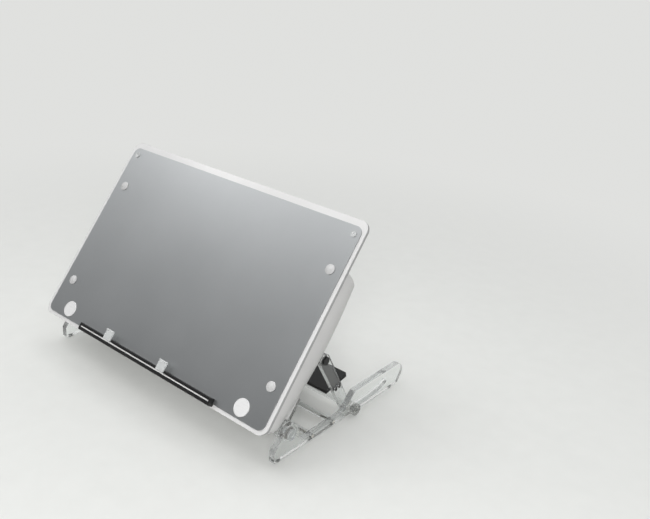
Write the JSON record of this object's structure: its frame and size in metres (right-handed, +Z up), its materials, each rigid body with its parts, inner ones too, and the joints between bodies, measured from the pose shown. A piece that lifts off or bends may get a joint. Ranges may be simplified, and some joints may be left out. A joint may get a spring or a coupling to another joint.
{
  "type": "writing slope",
  "caption": "Clear acrylic desk slope with a grey writing panel, moulded back tray, black page ledge with sliding clips, tilting board and a propped, slotted base.",
  "frame": {"origin": "on the desk, below the middle of the object's outline", "axes": "+X across the board to the right, +Y to the rear, +Z up"},
  "size_m": [0.5132, 0.3412, 0.3157],
  "materials": {
    "clear": "polished clear acrylic",
    "soft_clear": "soft clear bumper",
    "plate_white": "opal white acrylic",
    "tray_white": "satin off-white moulding",
    "panel_grey": "fine satin cool grey",
    "cap_white": "semi-gloss white",
    "nylon": "natural nylon",
    "black": "satin black",
    "nickel": "plain steel"
  },
  "bodies": {
    "base": {"left_side_plate": "clear", "right_side_plate": "clear", "front_tie_rod": "clear", "rear_tie_rod": "clear", "tie_screws": "nickel", "base_feet": "soft_clear", "pivot_pins": "clear", "pivot_washers": "nylon", "pivot_clips": "nickel"},
    "board": {"back_tray": "tray_white", "top_plate": "plate_white", "grey_panel": "panel_grey", "plate_screws": "nickel", "screw_caps": "cap_white", "corner_rivets": "clear", "blank_discs": "cap_white", "ledge_bar": "black", "ledge_strip": "nylon", "ledge_end_caps": "black", "ledge_screws": "nickel", "left_hinge_arm": "clear", "right_hinge_arm": "clear", "arm_screws": "nickel", "pivot_bushes": "nylon", "left_prop_bracket": "black", "right_prop_bracket": "black", "bracket_screws": "nickel", "prop_hinge_pins": "black"},
    "prop": {"left_strut": "clear", "right_strut": "clear", "strut_bushes": "nylon", "cross_plate": "black", "cross_plate_screws": "black", "foot_rod": "clear", "rod_spacers": "nylon", "rod_washers": "nickel"},
    "left_knob": {"left_clamp_knob": "clear"},
    "right_knob": {"right_clamp_knob": "clear"},
    "left_clip": {"left_page_clip": "clear"},
    "right_clip": {"right_page_clip": "clear"}
  },
  "joints": [
    {"name": "board_tilt", "type": "hinge", "parent": "base", "child": "board", "pos_m": [0, -0.10439, 0.036], "axis": [1, 0, 0], "range_deg": [-36, 0]},
    {"name": "prop_swing", "type": "hinge", "parent": "board", "child": "prop", "pos_m": [0, -0.02204, 0.11379], "axis": [1, 0, 0], "range_deg": [0, 81]},
    {"name": "left_knob_turn", "type": "hinge", "parent": "prop", "child": "left_knob", "pos_m": [0, 0.03761, 0.012], "axis": [1, 0, 0], "continuous": true},
    {"name": "right_knob_turn", "type": "hinge", "parent": "prop", "child": "right_knob", "pos_m": [0, 0.03761, 0.012], "axis": [1, 0, 0], "continuous": true},
    {"name": "left_clip_slide", "type": "slide", "parent": "board", "child": "left_clip", "axis": [1, 0, 0], "range_m": [-0.056, 0.069]},
    {"name": "right_clip_slide", "type": "slide", "parent": "board", "child": "right_clip", "axis": [1, 0, 0], "range_m": [-0.031, 0.094]}
  ],
  "couplings": [
    {"joint": "prop_swing", "follows": "board_tilt", "ratio": -2.25}
  ]
}
